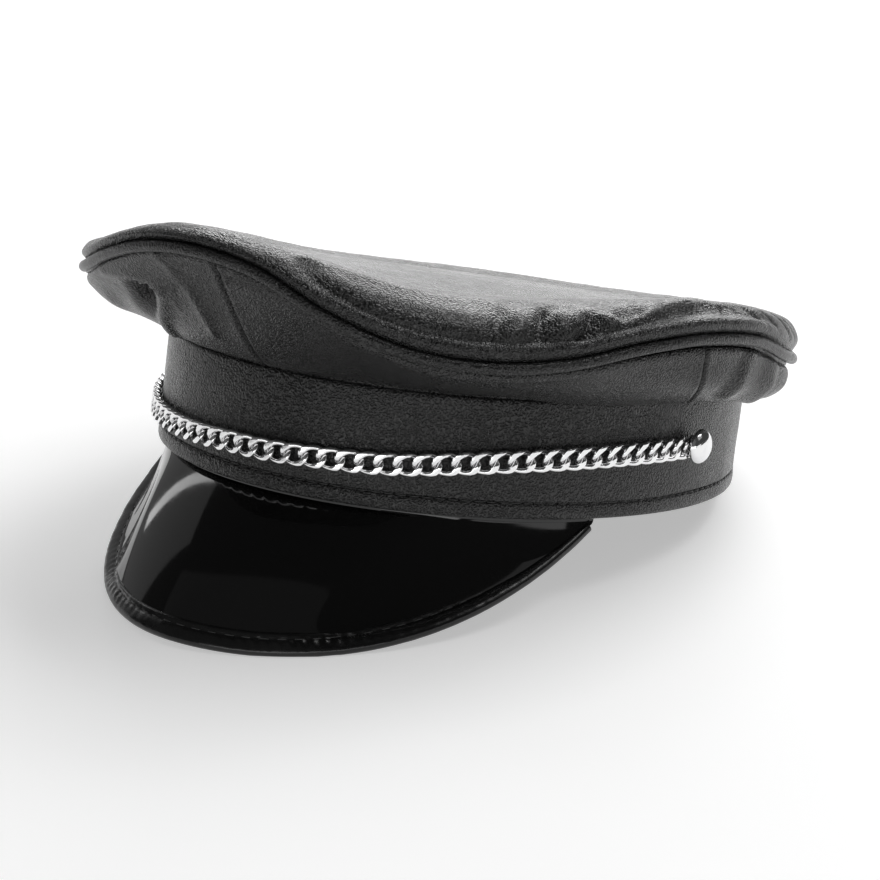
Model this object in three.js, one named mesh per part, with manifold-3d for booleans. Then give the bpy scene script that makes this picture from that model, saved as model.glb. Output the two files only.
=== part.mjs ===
// A peaked leather cap, resting on the edge of its peak and the back of its band.
//
// Everything is modelled in the cap's own frame, in millimetres: X across the head, -Y out over
// the peak, +Z up, and the lower rim of the band in the plane Z = 0. The last lines tip that
// frame back by the resting angle and set it on the floor, the plane Z = 0 of the exported group.
//
// An angle round the cap is in degrees from the front: 0 at the front, 90 at the wearer's left,
// 180 at the back, and negative on the wearer's right.

import * as THREE from "three";
import { mergeVertices } from "three/addons/utils/BufferGeometryUtils.js";
import Module from "manifold-3d";

const wasm = await Module();
wasm.setup();

// Driving dimensions

const gap = 0.35; // between pieces that touch on the real cap
const band = { halfLength: 102.5, halfWidth: 86.2, height: 36, wall: 2.4, hem: 5, hemSwell: 0.9 };
const crown = {
  halfLength: 126.6,
  halfWidth: 102.8,
  forward: 11, // of the band's centre
  sheet: 1.4,
  curlIn: 0.95, // how far from the piping's middle line the sheets' hidden edges end
  curlOver: 0.6, // how far inside the piping's middle line they pass over it
};
const piping = { radius: 1.6, sides: 5, steps: 45 };
const quarter = {
  foot: 0.55, // its lower edge stands this far above the band
  rise: 2.1, // from there straight up, before it rolls outwards
  roll: 3.2, // how far out it passes over the band's edge
  columns: 11,
  rows: 6,
};
const top = {
  shoulderShare: 0.5, // of the sheet's rows, the rest is the taut middle
  bulge: 1.5, // how far the roll stands out past the piping
  bulgeShare: 0.2, // of the shoulder's height, at the fullest point
  brow: 0.8, // of the shoulder's height, where the roll turns in
  browReach: 0.3, // of the shoulder's reach, there
  sag: 2.2, // of the middle, a third of the way in from the shoulder
  columns: 42,
  rows: 8,
  gathered: 60, // the angle round which the columns stand closer together
  crowding: 20,
};
const peak = {
  sheet: 1.6,
  corner: 71.5, // where its edge meets the band, in degrees from the front
  reach: 28.9,
  drop: 43.1,
  below: 0.5, // between the sheet and the band's lower rim
  tuck: 5, // how far it runs up inside the band
  camber: 2.4,
  spread: 0.82, // brings the lines across the sheet closer to straight ahead
  share: 0.985, // of the edge, which ends just short of the corners
  columns: 24,
  rows: 6,
};
const binding = { width: 6, leather: 0.8, pressed: 0.35 };
const wire = 1.55; // the chain's wire, across
const link = { pitch: 5.7, width: 7.0, twist: 1.0, bite: 0.03, steps: 10, sides: 5 };
const chain = { standOff: 2.15, slices: 6000 };
const stud = {
  angle: 91.5,
  lift: 0.4, // above the chain's middle line
  radius: 5.5,
  dome: 3.3,
  lip: 0.5,
  post: 1.15,
  seat: 4.3,
  washer: 3.4,
  sheet: 0.9,
  sides: 10,
  arcs: 4,
};
const floorFlat = 0.25; // how deep the leather is pressed flat where the cap rests

// Height of the piping above the band's lower rim, on the wearer's left and right. The crown of
// soft leather has slumped a little on the right.
const rim = [
  { angle: 0, left: 72, right: 72 },
  { angle: 12, left: 70, right: 69.5 },
  { angle: 24, left: 62, right: 63 },
  { angle: 36, left: 53.5, right: 56 },
  { angle: 48, left: 50.5, right: 52 },
  { angle: 60, left: 52, right: 51.2 },
  { angle: 72, left: 56.5, right: 51.8 },
  { angle: 84, left: 58.5, right: 51 },
  { angle: 98, left: 56, right: 45.5 },
  { angle: 112, left: 48.5, right: 41.5 },
  { angle: 126, left: 43, right: 39.5 },
  { angle: 150, left: 39.5, right: 37.5 },
  { angle: 180, left: 37, right: 37 },
];

// The quarters' cross-section. low: the point where the leather turns up after rolling over the
// band. full: the fullest point above it. out is outwards from the band's face, up is above its
// top edge.
const quarterSections = [
  { angle: 0, lowOut: 5.5, lowUp: 3.4, fullOut: 17, fullUp: 13.5 },
  { angle: 25, lowOut: 6, lowUp: 3.2, fullOut: 17, fullUp: 9.5 },
  { angle: 45, lowOut: 7, lowUp: 3.2, fullOut: 18, fullUp: 6.5 },
  { angle: 65, lowOut: 7, lowUp: 1.0, fullOut: 17, fullUp: 7 },
  { angle: 88, lowOut: 6.5, lowUp: 0.5, fullOut: 17, fullUp: 8 },
  { angle: 108, lowOut: 6.5, lowUp: -3, fullOut: 14.5, fullUp: 3 },
  { angle: 125, lowOut: 6.5, lowUp: -5, fullOut: 13.5, fullUp: -0.5 },
  { angle: 150, lowOut: 6, lowUp: -7, fullOut: 12.5, fullUp: -3.8 },
  { angle: 180, lowOut: 6, lowUp: -8, fullOut: 12, fullUp: -5 },
];

// The shoulder of the top panel: its height above the piping on each side, and how far in from
// the piping it reaches. Between front and side the leather stands high over the dip of the rim.
const shoulder = [
  { angle: 0, left: 6.2, right: 6.2, reach: 9 },
  { angle: 15, left: 8, right: 6.2, reach: 12 },
  { angle: 30, left: 12.5, right: 7.2, reach: 18 },
  { angle: 45, left: 15.5, right: 9.5, reach: 25 },
  { angle: 60, left: 13.5, right: 9, reach: 23 },
  { angle: 75, left: 9.5, right: 8, reach: 16 },
  { angle: 90, left: 9, right: 8, reach: 12 },
  { angle: 120, left: 13, right: 7.6, reach: 11 },
  { angle: 150, left: 12, right: 7, reach: 11 },
  { angle: 180, left: 8.8, right: 8.8, reach: 11 },
];

// Gathers of the top panel, across its shoulder: how far each stands out of the smooth form, and
// half its width in degrees
const gathers = [
  { angle: 50, rise: 1.2, spread: 6 },
  { angle: 57, rise: -1.9, spread: 6 },
  { angle: 63, rise: 1.2, spread: 6 },
  { angle: 69, rise: -2.1, spread: 6 },
  { angle: 118, rise: 0.8, spread: 9 },
  { angle: -44, rise: 1.2, spread: 8 },
  { angle: -56, rise: -1.7, spread: 8 },
];

// Folds of the quarters, from band to piping: the angle at the band and at the piping, how far
// out of the smooth form the crest stands, and half its width in degrees
const quarterFolds = [
  { low: -9, high: -6, crest: 2.4, spread: 9 },
  { low: -27, high: -24, crest: -7.5, spread: 14 },
  { low: 20, high: 24, crest: -1.6, spread: 14 },
  { low: 97, high: 101, crest: -2.6, spread: 8 },
  { low: 107, high: 112, crest: 1.6, spread: 8 },
  { low: 121, high: 126, crest: -1.5, spread: 8 },
  { low: -104, high: -110, crest: -1.8, spread: 9 },
];

// Height of the chain's middle line above the band's lower rim, on the wearer's left and right
const chainLine = [
  { angle: 0, left: 12, right: 12 },
  { angle: 15, left: 13, right: 11.1 },
  { angle: 30, left: 14.3, right: 10.7 },
  { angle: 50, left: 17.8, right: 11.2 },
  { angle: 70, left: 19.9, right: 14.6 },
  { angle: 92, left: 20.6, right: 20.6 },
];

// The seams between the quarters: their angle at the band and at the piping
const seams = {
  front: { low: 1.5, high: 4.5 },
  left: { low: 88.5, high: 85 },
  back: { low: 180, high: 180 },
  right: { low: -88, high: -86 },
};
const quarterNodes = [
  { name: "quarter_front_left", from: seams.front, to: seams.left },
  { name: "quarter_back_left", from: seams.left, to: seams.back },
  { name: "quarter_back_right", from: seams.back, to: seams.right },
  { name: "quarter_front_right", from: seams.right, to: seams.front },
];

const colours = {
  leather: { color: 0x1b1b1c, roughness: 0.55, metalness: 0 },
  patent: { color: 0x060607, roughness: 0.08, metalness: 0 },
  metal: { color: 0xd6d6d8, roughness: 0.12, metalness: 1 },
};

// Small tools

const radians = THREE.MathUtils.degToRad;
const mix = THREE.MathUtils.lerp;
const vec = (x, y, z) => new THREE.Vector3(x, y, z);

// An angle as one between -180 and 180
const wrap = (angle) => ((((angle + 180) % 360) + 360) % 360) - 180;

// Reads column `key` of a table at an angle, smoothly, with the same value on both sides of the cap.
function readTable(rows, key, angle) {
  const a = Math.abs(wrap(angle));
  const last = rows.length - 1;
  let i = 0;
  while (i < last - 1 && a > rows[i + 1].angle) i += 1;
  const slope = (k) => {
    if (k === 0 || k === last) return 0;
    return (rows[k + 1][key] - rows[k - 1][key]) / (rows[k + 1].angle - rows[k - 1].angle);
  };
  const span = rows[i + 1].angle - rows[i].angle;
  const t = (a - rows[i].angle) / span;
  return (
    rows[i][key] * (1 + 2 * t) * (1 - t) ** 2 +
    rows[i + 1][key] * t * t * (3 - 2 * t) +
    span * slope(i) * t * (1 - t) ** 2 +
    span * slope(i + 1) * t * t * (t - 1)
  );
}

// A bell that is 1 at the middle and 0 at `spread` on both sides of it.
function bell(distance, spread) {
  const t = Math.min(1, Math.abs(distance) / spread);
  return (1 - t * t) ** 2;
}

// The column of a table that holds this side of the cap
const sideOf = (angle) => (wrap(angle) < 0 ? "right" : "left");

// A point on the band's outer face, moved `out` along the face's normal.
function onBand(angle, out, height) {
  const a = radians(angle);
  const normal = vec(Math.sin(a) * band.halfLength, -Math.cos(a) * band.halfWidth, 0).normalize();
  const x = band.halfWidth * Math.sin(a);
  const y = -band.halfLength * Math.cos(a);
  return { point: vec(x, y, height).addScaledVector(normal, out), normal };
}

// A point in plan on the crown's outline, drawn in towards its centre by `share`.
function onCrown(angle, share, height) {
  const a = radians(angle);
  const x = crown.halfWidth * share * Math.sin(a);
  return vec(x, -crown.forward - crown.halfLength * share * Math.cos(a), height);
}

// The way out of the crown's outline, in plan
function crownNormal(angle) {
  const a = radians(angle);
  return vec(Math.sin(a) * crown.halfLength, -Math.cos(a) * crown.halfWidth, 0).normalize();
}

const rimHeight = (angle) => readTable(rim, sideOf(angle), angle);
const shoulderHeight = (angle) => readTable(shoulder, sideOf(angle), angle);

// A wall of even thickness round the sheet point(u, v), as one closed body. du x dv points out of
// the front of the sheet. `closed` joins the last column to the first, and `pole` draws the last
// row together in one point.
function wallGeometry({ columns, rows, point, thickness, closed = false, pole = false }) {
  const step = 1e-3;
  const at = (i, j) => {
    const u = i / columns;
    const v = j / rows;
    const du = point(u + step, v).sub(point(u - step, v));
    const dv = point(u, Math.min(v + step, 1)).sub(point(u, Math.max(v - step, 0)));
    const normal = du.cross(dv).normalize();
    if (pole && j === rows) normal.set(0, 0, 1);
    return { middle: point(u, v), normal };
  };
  const across = closed ? columns : columns + 1;
  const down = pole ? rows : rows + 1;
  const positions = [];
  for (const side of [0.5, -0.5]) {
    for (let j = 0; j < down; j += 1) {
      for (let i = 0; i < across; i += 1) {
        const { middle, normal } = at(i, j);
        positions.push(...middle.addScaledVector(normal, side * thickness).toArray());
      }
    }
    if (pole) {
      const { middle, normal } = at(0, rows);
      positions.push(...middle.addScaledVector(normal, side * thickness).toArray());
    }
  }
  const layer = across * down + (pole ? 1 : 0);
  const id = (side, i, j) => side * layer + (j === down ? layer - 1 : j * across + (i % across));
  const index = [];
  const quad = (a, b, c, d) => index.push(a, b, c, a, c, d);
  for (let i = 0; i < columns; i += 1) {
    for (let j = 0; j < down - 1; j += 1) {
      quad(id(0, i, j), id(0, i + 1, j), id(0, i + 1, j + 1), id(0, i, j + 1));
      quad(id(1, i, j), id(1, i, j + 1), id(1, i + 1, j + 1), id(1, i + 1, j));
    }
    quad(id(0, i + 1, 0), id(0, i, 0), id(1, i, 0), id(1, i + 1, 0));
    if (pole) {
      index.push(id(0, i, down - 1), id(0, i + 1, down - 1), id(0, 0, down));
      index.push(id(1, i + 1, down - 1), id(1, i, down - 1), id(1, 0, down));
    } else {
      quad(id(0, i, rows), id(0, i + 1, rows), id(1, i + 1, rows), id(1, i, rows));
    }
  }
  if (!closed) {
    for (let j = 0; j < down - 1; j += 1) {
      quad(id(0, 0, j), id(0, 0, j + 1), id(1, 0, j + 1), id(1, 0, j));
      quad(id(0, columns, j + 1), id(0, columns, j), id(1, columns, j), id(1, columns, j + 1));
    }
  }
  return new THREE.BufferGeometry()
    .setAttribute("position", new THREE.Float32BufferAttribute(positions, 3))
    .setIndex(index);
}

// A body swept through sections that all have the same number of corners, either joined in a ring
// or closed by a flat lid at each end. `outline` is the section in its own plane, for the lids.
function sweptGeometry(sections, outline, ring) {
  const corners = outline.length;
  const positions = sections.flat().flatMap((p) => p.toArray());
  const index = [];
  const spans = ring ? sections.length : sections.length - 1;
  for (let s = 0; s < spans; s += 1) {
    const next = (s + 1) % sections.length;
    for (let c = 0; c < corners; c += 1) {
      const d = (c + 1) % corners;
      const [a0, a1] = [s * corners + c, s * corners + d];
      const [b0, b1] = [next * corners + c, next * corners + d];
      index.push(a0, a1, b1, a0, b1, b0);
    }
  }
  if (!ring) {
    const end = (sections.length - 1) * corners;
    for (const [a, b, c] of THREE.ShapeUtils.triangulateShape(outline, [])) {
      index.push(a, c, b, end + a, end + b, end + c);
    }
  }
  return new THREE.BufferGeometry()
    .setAttribute("position", new THREE.Float32BufferAttribute(positions, 3))
    .setIndex(index);
}

function toSolid(geometry) {
  const bare = geometry.clone();
  bare.deleteAttribute("normal");
  bare.deleteAttribute("uv");
  const merged = mergeVertices(bare, 1e-4);
  return new wasm.Manifold(
    new wasm.Mesh({
      numProp: 3,
      vertProperties: merged.attributes.position.array,
      triVerts: new Uint32Array(merged.index.array),
    }),
  );
}

function toGeometry(solid) {
  const mesh = solid.getMesh();
  return new THREE.BufferGeometry()
    .setAttribute("position", new THREE.BufferAttribute(mesh.vertProperties, 3))
    .setIndex(new THREE.BufferAttribute(mesh.triVerts, 1));
}

function piece(name, geometry, finish) {
  geometry.computeVertexNormals();
  const mesh = new THREE.Mesh(geometry, new THREE.MeshStandardMaterial(colours[finish]));
  mesh.name = name;
  return mesh;
}

// One half of the peak's outer edge, from its corner on the wearer's left to the middle

const peakTop = -(peak.sheet / 2 + peak.below); // where the sheet passes under the band
const cornerPoint = onBand(peak.corner, -band.wall - gap - peak.sheet / 2, peakTop).point;
const frontPoint = vec(0, -(band.halfLength + peak.reach), -peak.drop);
const halfEdge = new THREE.CubicBezierCurve3(
  cornerPoint,
  cornerPoint.clone().add(vec(-3.5, -69.5, -46)),
  frontPoint.clone().add(vec(21.5, 0, 0)),
  frontPoint,
);

// The cap rests on the front of the peak's binding and on the back of the band. It is tipped back
// until the lowest point of the binding's underside comes level with the back of the band.
const bindingDepth = (peak.sheet / 2 + gap + binding.leather) * Math.SQRT1_2 - binding.pressed;
const restAngle = Math.max(
  ...halfEdge.getPoints(40).map((p) => Math.atan2(bindingDepth - p.z, band.halfLength - p.y)),
);
const floorDepth = band.halfLength * Math.sin(restAngle) - floorFlat;

// Everything below the floor, in the cap's frame, to cut the flats where the leather rests
function belowFloor() {
  const block = new THREE.BoxGeometry(600, 600, 100).translate(0, 0, -50 - floorDepth);
  block.rotateX(restAngle);
  return toSolid(block);
}

// Band: an oval wall of leather with a stitched hem that stands slightly proud at its foot

function bandGeometry() {
  const profile = [
    [band.hemSwell * 0.4, 0.25],
    [band.hemSwell, band.hem * 0.4],
    [0, band.hem],
    [0, band.height],
    [-band.wall, band.height],
    [-band.wall, 0.9],
    [-band.wall * 0.75, 0],
    [-band.wall * 0.25, 0],
  ].map(([out, up]) => new THREE.Vector2(out, up));
  const steps = 44;
  const sections = Array.from({ length: steps }, (_, i) =>
    profile.map((p) => onBand((-360 * i) / steps, p.x, p.y).point),
  );
  const hole = new THREE.CylinderGeometry(stud.post + gap, stud.post + gap, 12, 10);
  let solid = toSolid(sweptGeometry(sections, profile, true)).subtract(belowFloor());
  for (const side of [1, -1]) solid = solid.subtract(toSolid(atStud(hole, side, 0)));
  return toGeometry(solid);
}

// Quarters: the four leather panels between the band and the piping

// Where the sheets above and below the piping curl in behind it, clear of it and of each other
const curl = piping.radius + 3 * gap + crown.sheet / 2;
const curlIn = new THREE.Vector2(-curl, crown.curlIn);
const curlOver = new THREE.Vector2(-crown.curlOver, curl);

function quarterProfile(angle) {
  const read = (key) => readTable(quarterSections, key, angle);
  const low = new THREE.Vector2(read("lowOut"), read("lowUp"));
  const away = onCrown(angle, 1, 0).sub(onBand(angle, 0, 0).point);
  const overhang = away.length();
  const slant = away.normalize().dot(crownNormal(angle));
  const rimUp = rimHeight(angle) - band.height;
  return new THREE.SplineCurve([
    new THREE.Vector2(-band.wall / 2, quarter.foot),
    new THREE.Vector2(-band.wall / 3, quarter.foot + quarter.rise),
    new THREE.Vector2(quarter.roll, mix(quarter.foot + quarter.rise, low.y, 0.3)),
    low,
    new THREE.Vector2(read("fullOut"), read("fullUp")),
    new THREE.Vector2(overhang + curlOver.x / slant, rimUp - curlOver.y),
    new THREE.Vector2(overhang + curlIn.x / slant, rimUp - curlIn.y),
  ]);
}

function onQuarter(angle, v) {
  const section = quarterProfile(angle).getPoint(v);
  const foot = onBand(angle, 0, band.height).point;
  const out = onCrown(angle, 1, band.height).sub(foot).normalize();
  const { normal } = onBand(angle, 0, 0);
  const rise = Math.sin(Math.PI * THREE.MathUtils.smoothstep(v, 0.1, 1));
  let crest = 0;
  for (const fold of quarterFolds) {
    const middle = mix(fold.low, fold.high, v);
    crest += fold.crest * rise * bell(wrap(angle - middle), fold.spread);
  }
  return foot
    .addScaledVector(out, section.x)
    .addScaledVector(normal, crest)
    .add(vec(0, 0, section.y));
}

function quarterGeometry({ from, to }) {
  const seam = (gap / band.halfWidth) * THREE.MathUtils.RAD2DEG;
  const angleAt = (u, v) => {
    const start = mix(from.low, from.high, v) + seam;
    const turn = wrap(mix(to.low, to.high, v) - seam - start);
    return start + turn * u;
  };
  return wallGeometry({
    columns: quarter.columns,
    rows: quarter.rows,
    thickness: crown.sheet,
    point: (u, v) => onQuarter(angleAt(u, v), v),
  });
}

// Top panel: a taut sheet over a rolled edge

const harmonics = [0, 1, 2, 3, 4, 5, 6].map((order) => {
  const samples = 120;
  let cosine = 0;
  let sine = 0;
  for (let i = 0; i < samples; i += 1) {
    const angle = (360 * i) / samples;
    const height = rimHeight(angle) + shoulderHeight(angle);
    cosine += height * Math.cos(radians(order * angle));
    sine += height * Math.sin(radians(order * angle));
  }
  const scale = (order === 0 ? 1 : 2) / samples;
  return { cosine: cosine * scale, sine: sine * scale };
});

// Height of the taut sheet at a share of the way out to the shoulder
function tautHeight(share, angle) {
  let height = 0;
  harmonics.forEach(({ cosine, sine }, order) => {
    const turn = radians(order * angle);
    height += share ** order * (cosine * Math.cos(turn) + sine * Math.sin(turn));
  });
  return height;
}

// A point of the top panel, from the piping (v = 0) over the shoulder to the middle (v = 1)
function onTop(angle, v) {
  const radius = onCrown(angle, 1, 0).distanceTo(onCrown(angle, 0, 0));
  const reach = readTable(shoulder, "reach", angle);
  const height = tautHeight(1, angle) - rimHeight(angle);
  const curve = new THREE.SplineCurve([
    curlIn,
    curlOver,
    new THREE.Vector2(top.bulge, mix(curl, height, top.bulgeShare)),
    new THREE.Vector2(-reach * top.browReach, mix(curl, height, top.brow)),
    new THREE.Vector2(-reach, height),
  ]);
  const along = Math.min(1, v / top.shoulderShare);
  const section = curve.getPoint(along);
  const share = Math.max(0, (v - top.shoulderShare) / (1 - top.shoulderShare));
  const inner = 1 - reach / radius;
  const strength = Math.sin(Math.PI * Math.min(1, (along + share) / 1.4));
  let gather = 0;
  for (const { angle: middle, rise, spread } of gathers) {
    gather += rise * strength * bell(wrap(angle - middle), spread);
  }
  if (v < top.shoulderShare) {
    return onCrown(angle, 1 + section.x / radius, rimHeight(angle) + section.y + gather);
  }
  const sag = top.sag * Math.sin(Math.PI * share ** 0.6) * (1 - share);
  return onCrown(angle, (1 - share) * inner, tautHeight(1 - share, angle) + gather - sag);
}

// The panel's columns stand closer together over the gathers on the left.
function topGeometry() {
  const angleAt = (u) => 360 * u - top.crowding * Math.sin(radians(360 * u - top.gathered));
  return wallGeometry({
    columns: top.columns,
    rows: top.rows,
    thickness: crown.sheet,
    point: (u, v) => onTop(angleAt(u), v),
    closed: true,
    pole: true,
  });
}

// Piping: a covered cord in the seam between the quarters and the top

class RimCurve extends THREE.Curve {
  getPoint(t, target = vec(0, 0, 0)) {
    return target.copy(onCrown(360 * t, 1, rimHeight(360 * t)));
  }
}

function pipingGeometry() {
  return new THREE.TubeGeometry(new RimCurve(), piping.steps, piping.radius, piping.sides, true);
}

// Peak: a stiff sheet tucked inside the band, running forwards and down to its bound edge

// A point of the peak's outer edge, at share -1 (wearer's right corner) to 1 (left corner)
function onPeakEdge(share) {
  const point = halfEdge.getPoint(1 - Math.abs(share));
  if (share < 0) point.x *= -1;
  return point;
}

// The way from the edge (v = 0) up to the band (v = 1) and into its tuck
function onPeak(u, v) {
  const share = mix(-1, 1, u);
  const edge = onPeakEdge(share);
  const spread = Math.sign(share) * Math.abs(share) ** peak.spread;
  const root = onBand(peak.corner * spread, -band.wall - gap - peak.sheet / 2, peakTop).point;
  const tuckShare = 1 / peak.rows;
  if (v > 1 - tuckShare) {
    return root.add(vec(0, 0, ((v - 1 + tuckShare) / tuckShare) * (peak.tuck - peakTop)));
  }
  const t = v / (1 - tuckShare);
  const across = root.clone().sub(edge);
  const lift = vec(0, -across.z, across.y).normalize();
  if (lift.z < 0) lift.negate();
  const camber = peak.camber * 4 * t * (1 - t) * Math.min(1, across.length() / peak.drop);
  return edge.lerp(root, t).addScaledVector(lift, camber);
}

function peakGeometry() {
  return toGeometry(
    toSolid(
      wallGeometry({
        columns: peak.columns,
        rows: peak.rows,
        thickness: peak.sheet,
        point: (u, v) => onPeak(0.5 + (u - 0.5) * peak.share, v),
      }),
    ).subtract(belowFloor()),
  );
}

// Binding: a folded strip over the peak's edge

function bindingGeometry() {
  const inner = peak.sheet / 2 + gap;
  const outer = inner + binding.leather;
  const outline = [
    [binding.width, -inner],
    [-gap, -inner],
    [-gap, inner],
    [binding.width, inner],
    [binding.width, outer],
    [0, outer],
    [-gap - binding.leather, inner * 0.6],
    [-gap - binding.leather, -inner * 0.6],
    [0, -outer],
    [binding.width, -outer],
  ].map(([inward, up]) => new THREE.Vector2(inward, up));
  const sections = [];
  for (let i = 0; i <= peak.columns; i += 1) {
    const u = 0.5 + (i / peak.columns - 0.5) * peak.share;
    const edge = onPeak(u, 0);
    const along = onPeak(u + 1e-3, 0).sub(onPeak(u - 1e-3, 0)).normalize();
    const inward = onPeak(u, 1 / peak.rows).sub(edge).normalize();
    const up = inward.clone().cross(along).normalize();
    if (up.z < 0) up.negate();
    const place = (p) => edge.clone().addScaledVector(inward, p.x).addScaledVector(up, p.y);
    sections.push(outline.map(place));
  }
  const bandSpace = toSolid(new THREE.BoxGeometry(400, 400, 60).translate(0, 0, 30 - gap));
  const strip = toSolid(sweptGeometry(sections, outline, false));
  return toGeometry(strip.subtract(bandSpace).subtract(belowFloor()));
}

// Chain: curb links, each twisted so that it lies flat, joined where they bear on each other

// One link lying along X, its face towards +Z. The wire has an edge on its inner side.
function linkGeometry(pitch) {
  const halfLength = (pitch + wire) / 2 + link.bite;
  const halfWidth = (link.width - wire) / 2;
  const at = (turn) =>
    vec(halfLength * Math.cos(turn), halfWidth * Math.sin(turn), -link.twist * Math.sin(2 * turn));
  const outline = Array.from({ length: link.sides }, (_, i) => {
    const turn = (2 * Math.PI * i) / link.sides;
    return new THREE.Vector2(Math.cos(turn), Math.sin(turn)).multiplyScalar(wire / 2);
  });
  const sections = Array.from({ length: link.steps }, (_, i) => {
    const turn = (2 * Math.PI * (i + 0.5)) / link.steps;
    const middle = at(turn);
    const along = at(turn + 1e-3).sub(at(turn - 1e-3)).normalize();
    const inward = vec(-middle.x, -middle.y, 0);
    inward.addScaledVector(along, -inward.dot(along)).normalize();
    const across = along.clone().cross(inward);
    const place = (p) => middle.clone().addScaledVector(inward, p.x).addScaledVector(across, p.y);
    return outline.map(place);
  });
  return sweptGeometry(sections, outline, true);
}

// A point of the chain's middle line and the way out of the band there
function onChain(angle) {
  return onBand(angle, chain.standOff, readTable(chainLine, sideOf(angle), angle));
}

function chainGeometry() {
  const fine = chain.slices;
  const path = Array.from({ length: fine + 1 }, (_, i) => mix(-stud.angle, stud.angle, i / fine));
  const reach = [0];
  for (let i = 1; i <= fine; i += 1) {
    reach.push(reach[i - 1] + onChain(path[i]).point.distanceTo(onChain(path[i - 1]).point));
  }
  const endGap = link.pitch / 2 + link.bite - stud.post - 1.5 * gap;
  const count = Math.round((reach[fine] - 2 * endGap) / link.pitch) + 1;
  const pitch = (reach[fine] - 2 * endGap) / (count - 1);
  const shape = linkGeometry(pitch);
  const links = [];
  let i = 0;
  for (let n = 0; n < count; n += 1) {
    while (i < fine && reach[i] < endGap + n * pitch) i += 1;
    const here = onChain(path[i]);
    const ahead = onChain(path[Math.min(i + 1, fine)]).point;
    const along = ahead.sub(onChain(path[i - 1]).point).normalize();
    const out = here.normal.clone();
    const up = out.clone().cross(along);
    const place = new THREE.Matrix4().makeBasis(along, up, out).setPosition(here.point);
    links.push(toSolid(shape.clone().applyMatrix4(place)));
  }
  return toGeometry(wasm.Manifold.union(links));
}

// Studs: a domed head on a post that goes through the chain's end link and the band

// Moves a geometry whose axis is Y to a stud's place, `out` from the band's face
function atStud(geometry, side, out) {
  const height = onChain(stud.angle).point.z + stud.lift;
  const { point, normal } = onBand(side * stud.angle, out, height);
  const turn = new THREE.Quaternion().setFromUnitVectors(vec(0, 1, 0), normal);
  return geometry.clone().applyQuaternion(turn).translate(point.x, point.y, point.z);
}

function studGeometry(side) {
  const back = -band.wall - 1.5 * gap;
  const profile = [
    [0, back - stud.sheet],
    [stud.washer, back - stud.sheet],
    [stud.washer, back],
    [stud.post, back],
    [stud.post, stud.seat],
    [stud.radius - stud.lip, stud.seat],
    [stud.radius, stud.seat + stud.lip],
  ].map(([r, out]) => new THREE.Vector2(r, out));
  for (let i = 1; i <= stud.arcs; i += 1) {
    const turn = (Math.PI / 2) * (i / stud.arcs);
    const r = i === stud.arcs ? 0 : stud.radius * Math.cos(turn);
    profile.push(new THREE.Vector2(r, stud.seat + stud.lip + stud.dome * Math.sin(turn)));
  }
  return atStud(new THREE.LatheGeometry(profile, stud.sides), side, 0);
}

// The cap, tipped back as it rests and set on the floor, centred over the origin

const cap = new THREE.Group();
cap.add(piece("band", bandGeometry(), "leather"));
for (const panel of quarterNodes) cap.add(piece(panel.name, quarterGeometry(panel), "leather"));
cap.add(piece("crown_top", topGeometry(), "leather"));
cap.add(piece("piping", pipingGeometry(), "leather"));
cap.add(piece("peak", peakGeometry(), "patent"));
cap.add(piece("peak_binding", bindingGeometry(), "leather"));
cap.add(piece("chain", chainGeometry(), "metal"));
cap.add(piece("stud_left", studGeometry(1), "metal"));
cap.add(piece("stud_right", studGeometry(-1), "metal"));
cap.rotation.x = -restAngle;
cap.position.z = floorDepth;

const part = new THREE.Group();
part.add(cap);
const middle = new THREE.Box3().setFromObject(part, true).getCenter(vec(0, 0, 0));
cap.position.x -= middle.x;
cap.position.y -= middle.y;
export default part;
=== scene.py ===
import math

import bpy
import numpy as np
from mathutils import Matrix, Vector, noise


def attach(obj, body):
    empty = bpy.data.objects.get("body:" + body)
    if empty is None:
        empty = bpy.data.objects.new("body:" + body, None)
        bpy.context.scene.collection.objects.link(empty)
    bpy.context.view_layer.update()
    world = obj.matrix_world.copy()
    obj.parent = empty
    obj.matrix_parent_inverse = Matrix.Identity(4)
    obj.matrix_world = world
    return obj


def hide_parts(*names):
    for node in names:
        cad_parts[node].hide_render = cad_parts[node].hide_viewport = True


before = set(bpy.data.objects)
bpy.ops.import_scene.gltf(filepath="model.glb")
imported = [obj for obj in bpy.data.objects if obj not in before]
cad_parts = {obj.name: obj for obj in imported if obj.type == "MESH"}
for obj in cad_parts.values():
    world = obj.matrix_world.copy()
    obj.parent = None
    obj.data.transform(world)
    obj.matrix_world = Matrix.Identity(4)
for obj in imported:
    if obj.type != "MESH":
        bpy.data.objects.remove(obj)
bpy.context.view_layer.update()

# A peaked leather cap. Its pieces are shaped in the cap's own frame, in millimetres: X across the
# head, -Y out over the peak, +Z up, and the band's lower rim in the plane Z = 0. settle() then tips
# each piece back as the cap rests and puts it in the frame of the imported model, in metres.
# An angle round the cap is in degrees from the front: 90 at the wearer's left, 180 at the back, and
# negative on the wearer's right.

MM = 0.001
REST_ANGLE = 0.192618
BAND_CENTRE = Vector((-0.192, 7.722, 19.372))
AS_IT_RESTS = (
    Matrix.Translation(BAND_CENTRE * MM)
    @ Matrix.Rotation(-REST_ANGLE, 4, "X")
    @ Matrix.Scale(MM, 4)
)

# Sizes

LEATHER = 1.4
BAND = {"half_length": 102.5, "half_width": 86.2, "height": 36.0, "wall": 2.4}
CROWN = {"half_length": 126.6, "half_width": 102.8, "forward": 11.0}
PIPING = {"radius": 1.8, "out": 0.85}
# Height above the piping at which the top panel leaves its seam
CURL = 2.6
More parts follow.
